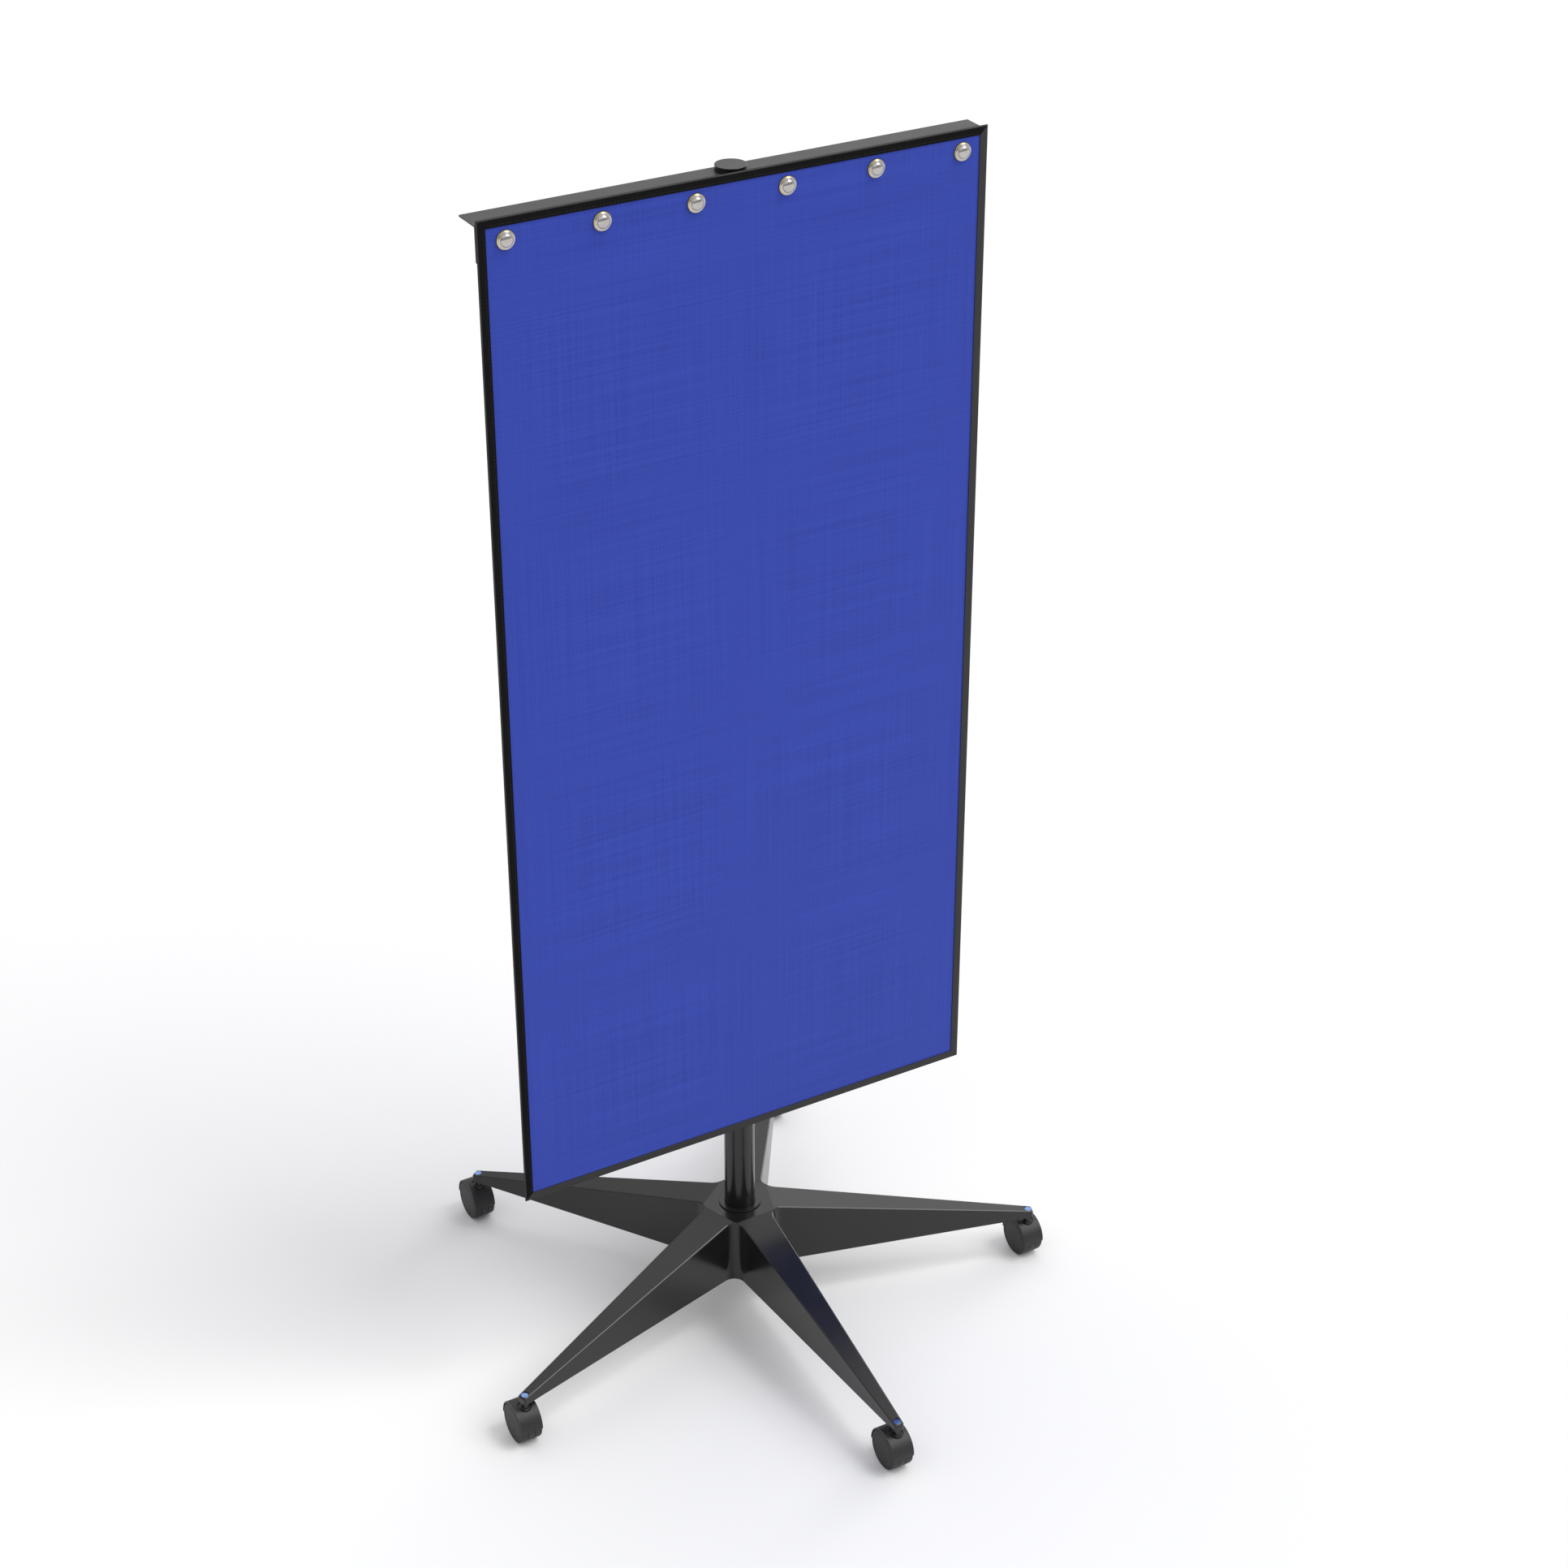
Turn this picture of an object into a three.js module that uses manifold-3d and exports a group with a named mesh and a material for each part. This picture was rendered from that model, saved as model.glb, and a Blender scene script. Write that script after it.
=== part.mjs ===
// Welding curtain screen on a five-star caster base. Millimetres, +Z up.
// X runs along the curtain's width, Y runs from the curtain's front to its back,
// and the origin is the middle of the footprint on the floor.
import * as THREE from "three";
import { mergeVertices } from "three/addons/utils/BufferGeometryUtils.js";
import Module from "manifold-3d";

// ---------------------------------------------------------------- driving dimensions

const seatGap = 0.3; // between two pieces that touch on the real object
const cutMargin = 5; // how far a cutting tool runs past the faces it cuts
const weldDistance = 1e-4; // vertices nearer than this are one vertex

const curtain = {
  width: 610,
  height: 1223,
  bottomZ: 276,
  thickness: 1,
};

const binding = {
  width: 10,
  wall: 0.7,
};

const stud = {
  count: 6,
  sideInset: 32, // from the curtain's side edge to the first stud
  topInset: 25, // from the curtain's top edge to the row of studs
  sides: 12,
};

const eyelet = {
  boreRadius: 4.2,
  barrelRadius: 5,
  flangeRadius: 10,
  frontThickness: 1.8,
  backThickness: 0.7,
};

const domeScrew = {
  shankRadius: 2.5,
  flangeRadius: 9.8,
  flangeThickness: 1.2,
  domeRadius: 6,
  domeHeight: 3,
  tailLength: 3, // past the nut
};

const hexNut = {
  acrossFlats: 8,
  height: 4,
};

const rail = {
  legThickness: 2.2,
  shelfDepth: 38,
  apronHeight: 40,
  belowCurtainTop: 5.5,
};

const post = {
  radius: 19,
  wall: 2.5,
  sides: 24,
};

const postPlug = {
  height: 30,
};

const postCap = {
  edgeInset: 1.5, // inside the post's outer face
  thickness: 6,
  screwRadius: 8,
  screwLength: 25,
};

const railScrew = {
  headRadius: 4.5,
  headDepth: 1.6,
  shankRadius: 2.2,
  tipClearance: 2.9, // from the cap's screw
  belowRailTop: 20,
};

const hubCollar = {
  rim: 7.5, // past the post's outer face
  thickness: 1.6,
};

const base = {
  armCount: 5,
  firstArmAngle: -90, // degrees, an arm points straight to the front
  stemRadius: 379.5, // from the post's axis to a caster stem's axis
  tipOverhang: 6, // arm end past the stem's axis
  tipChamfer: 1.5,
  aboveCasters: 6, // lower edge above the casters' bosses
  hubDepth: 86,
  platformApothem: 39,
  tipDepth: 12, // at the stem's axis
  hubStation: 40, // radius at which the hub half widths are given
  topHubHalfWidth: 22.6,
  topTipHalfWidth: 5.9,
  bottomHubHalfWidth: 24.8,
  bottomTipHalfWidth: 6.2,
  notchRadius: 15,
  notchSteps: 6,
  wall: 3.6,
  roof: 4.5,
  pocketStop: 50, // solid length of an arm inboard of the stem's axis
  bossWall: 6,
  bossLift: 11, // boss's lower face above the base's lower edge
  shelf: 6,
};

const postBolt = {
  shankRadius: 5,
  acrossFlats: 17,
  headHeight: 6.4,
  threadLength: 24, // above the shelf
};

const postWasher = {
  radius: 17,
  thickness: 2.5,
};

const wheel = {
  radius: 25,
  width: 9.4,
  face: 3, // solid outer face past the axle's end
  sides: 24,
  edge: 1.5,
};

const housing = {
  webWidth: 8.2,
  webInset: 0.9, // the web's edge inside the wheels' tread
  wheelGap: 0.6,
  hoodGap: 0.7,
  hoodReach: 2.2, // hood's outer face past the wheels' tread
  hoodRise: 0.8, // hood's centre above the axle
  hoodSteps: 10,
  trail: 9, // from the stem's axis back to the axle
  pocketRadius: 8.6,
  pocketSetback: 2.5,
  pocketFloor: 0.9,
  bossRadius: 5.8,
};

const axle = {
  radius: 2.5,
  clearance: 0.3,
  endGap: 0.4,
  sides: 12,
};

const stem = {
  radius: 4.5,
  pivotRadius: 2.6,
  pivotEndAboveAxle: 5,
  tipRecess: 0.4, // stem's top end below the arm's top face
  clearance: 0.3,
  sides: 16,
};

// ---------------------------------------------------------------- sizes worked out from them

const rad = THREE.MathUtils.degToRad;
const curtainTopZ = curtain.bottomZ + curtain.height;
const railTopZ = curtainTopZ - rail.belowCurtainTop;
const railBottomZ = railTopZ - rail.apronHeight;
const studRowZ = curtainTopZ - stud.topInset;

// The pieces in front of the post, as y measured from the post's axis.
const apronBackY = -(post.radius + seatGap);
const apronFrontY = apronBackY - rail.legThickness;
const eyeletBackY = apronFrontY - seatGap;
const sheetBackY = eyeletBackY - eyelet.backThickness - seatGap;
const sheetFrontY = sheetBackY - curtain.thickness;
const eyeletFrontBackY = sheetFrontY - seatGap;
const eyeletFrontY = eyeletFrontBackY - eyelet.frontThickness;
const screwSeatY = eyeletFrontY - seatGap;
const bindingBackY = sheetBackY + seatGap + binding.wall;
const bindingFrontY = sheetFrontY - seatGap - binding.wall;

// The foot, as z above the floor.
const axleZ = wheel.radius;
const hoodRadius = wheel.radius + housing.hoodReach;
const casterTopZ = axleZ + housing.hoodRise + hoodRadius; // hood's crown and boss's upper end
const baseBottomZ = casterTopZ + base.aboveCasters;
const platformZ = baseBottomZ + base.hubDepth;
const tipTopZ = baseBottomZ + base.tipDepth;
const bossBottomZ = baseBottomZ + base.bossLift;
const postBottomZ = bossBottomZ + base.shelf + seatGap;
const postTopZ = railTopZ - rail.legThickness - seatGap;
const postBoreRadius = post.radius - post.wall;
const plugRadius = postBoreRadius - seatGap;
const armSlope = (platformZ - tipTopZ) / (base.stemRadius - base.platformApothem);
const wheelInnerX = housing.webWidth / 2 + housing.wheelGap;
const wheelOuterX = wheelInnerX + wheel.width;
const armAngles = Array.from(
  { length: base.armCount },
  (_, k) => rad(base.firstArmAngle) + (k * 2 * Math.PI) / base.armCount
);

// The footprint runs from the front caster's hood to the rear casters' hoods.
const stemYs = armAngles.map((angle) => base.stemRadius * Math.sin(angle));
const footprintFrontY = Math.min(...stemYs) + housing.trail - hoodRadius;
const footprintBackY = Math.max(...stemYs) + housing.trail + hoodRadius;
const postAxisY = -(footprintFrontY + footprintBackY) / 2;

// ---------------------------------------------------------------- materials

const finish = (color, roughness, metalness) =>
  new THREE.MeshStandardMaterial({ color, roughness, metalness });
const blackCoat = finish(0x2b2b2d, 0.38, 0.2);
const castCoat = finish(0x343436, 0.42, 0.2);
const railCoat = finish(0x3a3a3c, 0.5, 0.2);
const blueCloth = finish(0x3c4cab, 0.85, 0);
const blackTape = finish(0x1f1f20, 0.8, 0);
const brass = finish(0xb99a45, 0.3, 1);
const polishedSteel = finish(0xcfcac4, 0.18, 1);
const zincSteel = finish(0x9a9c9f, 0.4, 1);
const blueZinc = finish(0x7f9bd0, 0.3, 1);
const casterNylon = finish(0x303031, 0.55, 0);
const treadRubber = finish(0x2c2c2d, 0.65, 0);

// ---------------------------------------------------------------- geometry helpers

const wasm = await Module();
wasm.setup();

// One vertex per corner and no collapsed faces, which is what a solid is made from.
function weld(geometry) {
  const bare = geometry.index ? geometry.toNonIndexed() : geometry.clone();
  bare.deleteAttribute("normal");
  bare.deleteAttribute("uv");
  const merged = mergeVertices(bare, weldDistance);
  const corners = merged.index.array;
  const kept = [];
  for (let i = 0; i < corners.length; i += 3) {
    const [a, b, c] = corners.slice(i, i + 3);
    if (a !== b && b !== c && c !== a) kept.push(a, b, c);
  }
  merged.setIndex(kept);
  return merged;
}

function toSolid(geometry) {
  const welded = weld(geometry);
  return new wasm.Manifold(
    new wasm.Mesh({
      numProp: 3,
      vertProperties: new Float32Array(welded.attributes.position.array),
      triVerts: new Uint32Array(welded.index.array),
    })
  );
}

function toGeometry(solid) {
  const mesh = solid.getMesh();
  const geometry = new THREE.BufferGeometry();
  geometry.setAttribute("position", new THREE.BufferAttribute(mesh.vertProperties, 3));
  geometry.setIndex(new THREE.BufferAttribute(mesh.triVerts, 1));
  geometry.computeVertexNormals();
  return geometry;
}

const join = (...geometries) =>
  toGeometry(geometries.map(toSolid).reduce((sum, solid) => sum.add(solid)));
const cut = (body, ...tools) =>
  toGeometry(tools.map(toSolid).reduce((left, tool) => left.subtract(tool), toSolid(body)));
const keepInside = (body, limit) => toGeometry(toSolid(body).intersect(toSolid(limit)));

// A turned piece from [radius, distance along its axis] pairs, run from the far end of
// its outline to the near end. Its axis is x, z, or front: from the curtain to the viewer.
function turned(outline, sides, axis) {
  const points = outline.map(([radius, along]) => new THREE.Vector2(radius, along));
  const geometry = new THREE.LatheGeometry(points, sides, Math.PI / sides);
  if (axis === "x") geometry.rotateZ(-Math.PI / 2);
  if (axis === "z") geometry.rotateX(Math.PI / 2);
  if (axis === "front") geometry.rotateX(Math.PI);
  return geometry;
}

const rod = (radius, from, to, sides, axis) =>
  turned([[0, from], [radius, from], [radius, to], [0, to]], sides, axis);

const tube = (inner, outer, from, to, sides, axis) =>
  turned([[inner, from], [outer, from], [outer, to], [inner, to], [inner, from]], sides, axis);

// A flat-sided block between two corners.
function block([x0, y0, z0], [x1, y1, z1]) {
  const geometry = new THREE.BoxGeometry(x1 - x0, y1 - y0, z1 - z0);
  return geometry.translate((x0 + x1) / 2, (y0 + y1) / 2, (z0 + z1) / 2);
}

// A solid between two outlines with the same number of points.
function loft(lower, upper, lowerZ, upperZ) {
  const count = lower.length;
  const positions = [];
  for (const point of lower) positions.push(point.x, point.y, lowerZ);
  for (const point of upper) positions.push(point.x, point.y, upperZ);
  const index = [];
  for (const [a, b, c] of THREE.ShapeUtils.triangulateShape(lower, [])) {
    index.push(c, b, a, a + count, b + count, c + count);
  }
  for (let i = 0; i < count; i += 1) {
    const next = (i + 1) % count;
    index.push(i, next, next + count, i, next + count, i + count);
  }
  const geometry = new THREE.BufferGeometry();
  geometry.setAttribute("position", new THREE.Float32BufferAttribute(positions, 3));
  geometry.setIndex(index);
  return geometry;
}

const parts = new THREE.Group();
const atPost = new THREE.Group(); // its origin is the post's axis on the floor
atPost.position.y = postAxisY;
parts.add(atPost);

function place(name, geometry, material, holder = atPost) {
  const mesh = new THREE.Mesh(geometry, material);
  mesh.name = name;
  holder.add(mesh);
  return mesh;
}

// ---------------------------------------------------------------- star base

// The plan of the star: each arm tapers from its hub half width to its tip half width,
// and the notch between two arms is a round fillet.
function starOutline({ hubHalf, tipHalf, notch, reach }) {
  const tipStation = base.stemRadius + base.tipOverhang;
  const taper = (hubHalf - tipHalf) / (tipStation - base.hubStation);
  const halfWidth = (radius) => hubHalf - taper * (radius - base.hubStation);
  const halfPitch = Math.PI / base.armCount;
  const wallAngle = halfPitch + Math.atan(taper);
  const cornerStation = (hubHalf + taper * base.hubStation) / (Math.tan(halfPitch) + taper);
  const notchCentre = cornerStation / Math.cos(halfPitch) + notch / Math.sin(wallAngle);
  const sweep = Math.PI / 2 - wallAngle;
  const chamfer = Math.min(base.tipChamfer, tipHalf / 2);
  const points = [];
  for (const angle of armAngles) {
    const along = new THREE.Vector2(Math.cos(angle), Math.sin(angle));
    const left = new THREE.Vector2(-along.y, along.x);
    const onArm = (radius, side) =>
      along.clone().multiplyScalar(radius).addScaledVector(left, side);
    points.push(onArm(reach - chamfer, -halfWidth(reach - chamfer)));
    points.push(onArm(reach, chamfer - halfWidth(reach)));
    points.push(onArm(reach, halfWidth(reach) - chamfer));
    points.push(onArm(reach - chamfer, halfWidth(reach - chamfer)));
    const middle = angle + halfPitch;
    for (let step = 0; step <= base.notchSteps; step += 1) {
      const turn = middle + Math.PI + sweep * (1 - (2 * step) / base.notchSteps);
      points.push(
        new THREE.Vector2(
          notchCentre * Math.cos(middle) + notch * Math.cos(turn),
          notchCentre * Math.sin(middle) + notch * Math.sin(turn)
        )
      );
    }
  }
  return points;
}

// The arms' sloping tops meet the flat platform along the edges of this pyramid.
function armTops(lowering) {
  const top = platformZ - lowering;
  const reach = base.stemRadius + base.tipOverhang + cutMargin;
  const drop = armSlope * (reach - base.platformApothem);
  const toCorner = Math.cos(Math.PI / base.armCount);
  const bottom = Math.min(baseBottomZ - cutMargin, top - drop);
  const bottomApothem = base.platformApothem + (top - bottom) / armSlope;
  const geometry = new THREE.CylinderGeometry(
    base.platformApothem / toCorner,
    bottomApothem / toCorner,
    top - bottom,
    base.armCount
  );
  geometry.rotateX(Math.PI / 2);
  geometry.rotateZ(rad(base.firstArmAngle) + Math.PI / 2 + Math.PI / base.armCount);
  return geometry.translate(0, 0, (top + bottom) / 2);
}

function starBody(inset, lowering, reach, floorZ) {
  const plan = (hubHalf, tipHalf) =>
    starOutline({
      hubHalf: hubHalf - inset,
      tipHalf: tipHalf - inset,
      notch: base.notchRadius + inset,
      reach,
    });
  const body = loft(
    plan(base.bottomHubHalfWidth, base.bottomTipHalfWidth),
    plan(base.topHubHalfWidth, base.topTipHalfWidth),
    floorZ,
    platformZ
  );
  return keepInside(body, armTops(lowering));
}

function makeStarBase() {
  const shell = cut(
    starBody(0, 0, base.stemRadius + base.tipOverhang, baseBottomZ),
    starBody(base.wall, base.roof, base.stemRadius - base.pocketStop, baseBottomZ - cutMargin)
  );
  const boreRadius = post.radius + seatGap;
  const boss = rod(boreRadius + base.bossWall, bossBottomZ, platformZ - seatGap, post.sides, "z");
  const bore = rod(
    boreRadius,
    bossBottomZ + base.shelf,
    platformZ + cutMargin,
    post.sides,
    "z"
  );
  const boltHole = rod(
    postBolt.shankRadius + seatGap,
    bossBottomZ - cutMargin,
    bossBottomZ + base.shelf + cutMargin,
    stud.sides,
    "z"
  );
  const stemHoles = armAngles.map((angle) =>
    rod(
      stem.radius + stem.clearance,
      baseBottomZ - cutMargin,
      tipTopZ + cutMargin,
      stem.sides,
      "z"
    ).translate(base.stemRadius * Math.cos(angle), base.stemRadius * Math.sin(angle), 0)
  );
  place("star_base", cut(join(shell, boss), bore, boltHole, ...stemHoles), castCoat);
  const collarFoot = platformZ + seatGap;
  place(
    "hub_collar",
    tube(
      boreRadius,
      post.radius + hubCollar.rim,
      collarFoot,
      collarFoot + hubCollar.thickness,
      post.sides,
      "z"
    ),
    blackCoat
  );
}

// ---------------------------------------------------------------- post and its fastenings

const hexRadius = (acrossFlats) => acrossFlats / 2 / Math.cos(Math.PI / 6);

function makePost() {
  const screwHole = rod(
    railScrew.shankRadius + seatGap,
    0,
    post.radius + cutMargin,
    axle.sides,
    "front"
  ).translate(0, 0, railTopZ - railScrew.belowRailTop);
  const wall = tube(postBoreRadius, post.radius, postBottomZ, postTopZ, post.sides, "z");
  place("post", cut(wall, screwHole), blackCoat);

  const boltBore = postBolt.shankRadius + seatGap;
  const capBore = postCap.screwRadius + seatGap;
  const plugTopZ = postBottomZ + postPlug.height;
  place(
    "post_plug_bottom",
    tube(boltBore, plugRadius, postBottomZ, plugTopZ, post.sides, "z"),
    zincSteel
  );
  const screwClear = rod(
    railScrew.shankRadius + seatGap,
    0,
    post.radius,
    axle.sides,
    "front"
  ).translate(0, 0, railTopZ - railScrew.belowRailTop);
  const topPlug = tube(capBore, plugRadius, postTopZ - postPlug.height, postTopZ, post.sides, "z");
  place("post_plug_top", cut(topPlug, screwClear), zincSteel);

  const washerTopZ = bossBottomZ - seatGap;
  const washerBottomZ = washerTopZ - postWasher.thickness;
  place(
    "post_washer",
    tube(boltBore, postWasher.radius, washerBottomZ, washerTopZ, post.sides, "z"),
    zincSteel
  );
  const headTopZ = washerBottomZ - seatGap;
  const boltHead = rod(
    hexRadius(postBolt.acrossFlats),
    headTopZ - postBolt.headHeight,
    headTopZ,
    6,
    "z"
  );
  const boltShank = rod(
    postBolt.shankRadius,
    headTopZ - postBolt.headHeight / 2,
    bossBottomZ + base.shelf + postBolt.threadLength,
    stud.sides,
    "z"
  );
  place("post_bolt", join(boltHead, boltShank), zincSteel);

  const capFoot = railTopZ + seatGap;
  const capTopZ = capFoot + postCap.thickness;
  const capRadius = post.radius - postCap.edgeInset;
  place(
    "post_cap",
    turned(
      [
        [0, capFoot - postCap.screwLength],
        [postCap.screwRadius, capFoot - postCap.screwLength],
        [postCap.screwRadius, capFoot],
        [capRadius, capFoot],
        [capRadius, capTopZ - 1],
        [capRadius - 1, capTopZ],
        [0, capTopZ],
      ],
      post.sides,
      "z"
    ),
    blackCoat
  );
}

// ---------------------------------------------------------------- top rail

const studXs = Array.from({ length: stud.count }, (_, i) => {
  const span = curtain.width - 2 * stud.sideInset;
  return (i / (stud.count - 1) - 0.5) * span;
});

function makeRail() {
  const half = curtain.width / 2;
  const shelfBackY = apronFrontY + rail.shelfDepth;
  const section = new THREE.Shape([
    new THREE.Vector2(apronFrontY, railBottomZ),
    new THREE.Vector2(apronBackY, railBottomZ),
    new THREE.Vector2(apronBackY, railTopZ - rail.legThickness),
    new THREE.Vector2(shelfBackY, railTopZ - rail.legThickness),
    new THREE.Vector2(shelfBackY, railTopZ),
    new THREE.Vector2(apronFrontY, railTopZ),
  ]);
  const bar = new THREE.ExtrudeGeometry(section, { depth: curtain.width, bevelEnabled: false });
  bar.rotateY(Math.PI / 2);
  bar.rotateX(Math.PI / 2);
  bar.translate(-half, 0, 0);
  const throughApron = (radius) =>
    rod(radius, -apronBackY - cutMargin, -apronFrontY + cutMargin, axle.sides, "front");
  const studHoles = studXs.map((x) =>
    throughApron(domeScrew.shankRadius + seatGap).translate(x, 0, studRowZ)
  );
  const capHole = rod(
    postCap.screwRadius + seatGap,
    railTopZ - rail.legThickness - cutMargin,
    railTopZ + cutMargin,
    post.sides,
    "z"
  );
  const screwZ = railTopZ - railScrew.belowRailTop;
  const screwHole = throughApron(railScrew.shankRadius + seatGap).translate(0, 0, screwZ);
  const sinkFrom = -apronFrontY - railScrew.headDepth - seatGap;
  const sink = rod(
    railScrew.headRadius + seatGap,
    sinkFrom,
    -apronFrontY + cutMargin,
    stud.sides,
    "front"
  ).translate(0, 0, screwZ);
  place("top_rail", cut(bar, ...studHoles, capHole, screwHole, sink), railCoat);

  const headSeat = sinkFrom + seatGap;
  const tip = postCap.screwRadius + railScrew.tipClearance;
  const screw = turned(
    [
      [0, tip],
      [railScrew.shankRadius, tip],
      [railScrew.shankRadius, headSeat],
      [railScrew.headRadius, headSeat],
      [railScrew.headRadius, headSeat + railScrew.headDepth],
      [0, headSeat + railScrew.headDepth],
    ],
    axle.sides,
    "front"
  );
  place("rail_screw", screw.translate(0, 0, screwZ), zincSteel);
}

// ---------------------------------------------------------------- curtain and its binding

function makeCurtain() {
  const sheetInset = binding.wall + seatGap;
  const halfWidth = curtain.width / 2;
  const sheet = block(
    [-halfWidth + sheetInset, sheetFrontY, curtain.bottomZ + sheetInset],
    [halfWidth - sheetInset, sheetBackY, curtainTopZ - sheetInset]
  );
  const holeRadius = eyelet.barrelRadius + seatGap;
  const hole = rod(
    holeRadius,
    -sheetBackY - cutMargin,
    -sheetFrontY + cutMargin,
    stud.sides,
    "front"
  );
  const holes = studXs.map((x) => hole.clone().translate(x, 0, studRowZ));
  place("curtain_sheet", cut(sheet, ...holes), blueCloth);

  // A folded tape: a channel whose slot takes the sheet's edge. Its mouth faces up here.
  const tape = (length) => {
    const body = block(
      [-length / 2, bindingFrontY, 0],
      [length / 2, bindingBackY, binding.width]
    );
    const slot = block(
      [-length / 2 - cutMargin, bindingFrontY + binding.wall, binding.wall],
      [length / 2 + cutMargin, bindingBackY - binding.wall, binding.width + cutMargin]
    );
    return cut(body, slot);
  };
  const sideLength = curtain.height - 2 * (binding.width + seatGap);
  const middleZ = curtain.bottomZ + curtain.height / 2;
  // The top and bottom tapes run the full width, and the side tapes butt to them.
  const edges = {
    binding_bottom: { length: curtain.width, turn: 0, x: 0, z: curtain.bottomZ },
    binding_top: { length: curtain.width, turn: 180, x: 0, z: curtainTopZ },
    binding_right: { length: sideLength, turn: -90, x: halfWidth, z: middleZ },
    binding_left: { length: sideLength, turn: 90, x: -halfWidth, z: middleZ },
  };
  for (const [name, edge] of Object.entries(edges)) {
    const strip = place(name, tape(edge.length).rotateY(rad(edge.turn)), blackTape);
    strip.position.set(edge.x, 0, edge.z);
  }
}

// ---------------------------------------------------------------- studs: eyelet, screw, nut

function makeStuds() {
  const nutBack = -apronBackY - seatGap - hexNut.height;
  studXs.forEach((x, i) => {
    const placeStud = (name, geometry, material) =>
      place(`${name}_${i + 1}`, geometry.translate(x, 0, studRowZ), material);
    placeStud(
      "eyelet",
      turned(
        [
          [eyelet.boreRadius, -eyeletBackY],
          [eyelet.flangeRadius, -eyeletBackY],
          [eyelet.flangeRadius, -eyeletBackY + eyelet.backThickness],
          [eyelet.barrelRadius, -eyeletBackY + eyelet.backThickness],
          [eyelet.barrelRadius, -eyeletFrontBackY],
          [eyelet.flangeRadius, -eyeletFrontBackY],
          [eyelet.flangeRadius, -eyeletFrontY],
          [eyelet.boreRadius, -eyeletFrontY],
          [eyelet.boreRadius, -eyeletBackY],
        ],
        stud.sides,
        "front"
      ),
      brass
    );
    const flangeFront = -screwSeatY + domeScrew.flangeThickness;
    placeStud(
      "dome_screw",
      turned(
        [
          [0, nutBack - domeScrew.tailLength],
          [domeScrew.shankRadius, nutBack - domeScrew.tailLength],
          [domeScrew.shankRadius, -screwSeatY],
          [domeScrew.flangeRadius, -screwSeatY],
          [domeScrew.flangeRadius, flangeFront],
          [domeScrew.domeRadius, flangeFront],
          [domeScrew.domeRadius * 0.75, flangeFront + domeScrew.domeHeight * 0.7],
          [0, flangeFront + domeScrew.domeHeight],
        ],
        stud.sides,
        "front"
      ),
      polishedSteel
    );
    placeStud(
      "hex_nut",
      cut(
        rod(hexRadius(hexNut.acrossFlats), nutBack, nutBack + hexNut.height, 6, "front"),
        rod(
          domeScrew.shankRadius + seatGap,
          nutBack - cutMargin,
          nutBack + hexNut.height + cutMargin,
          stud.sides,
          "front"
        )
      ),
      zincSteel
    );
  });
}

// ---------------------------------------------------------------- casters

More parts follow.
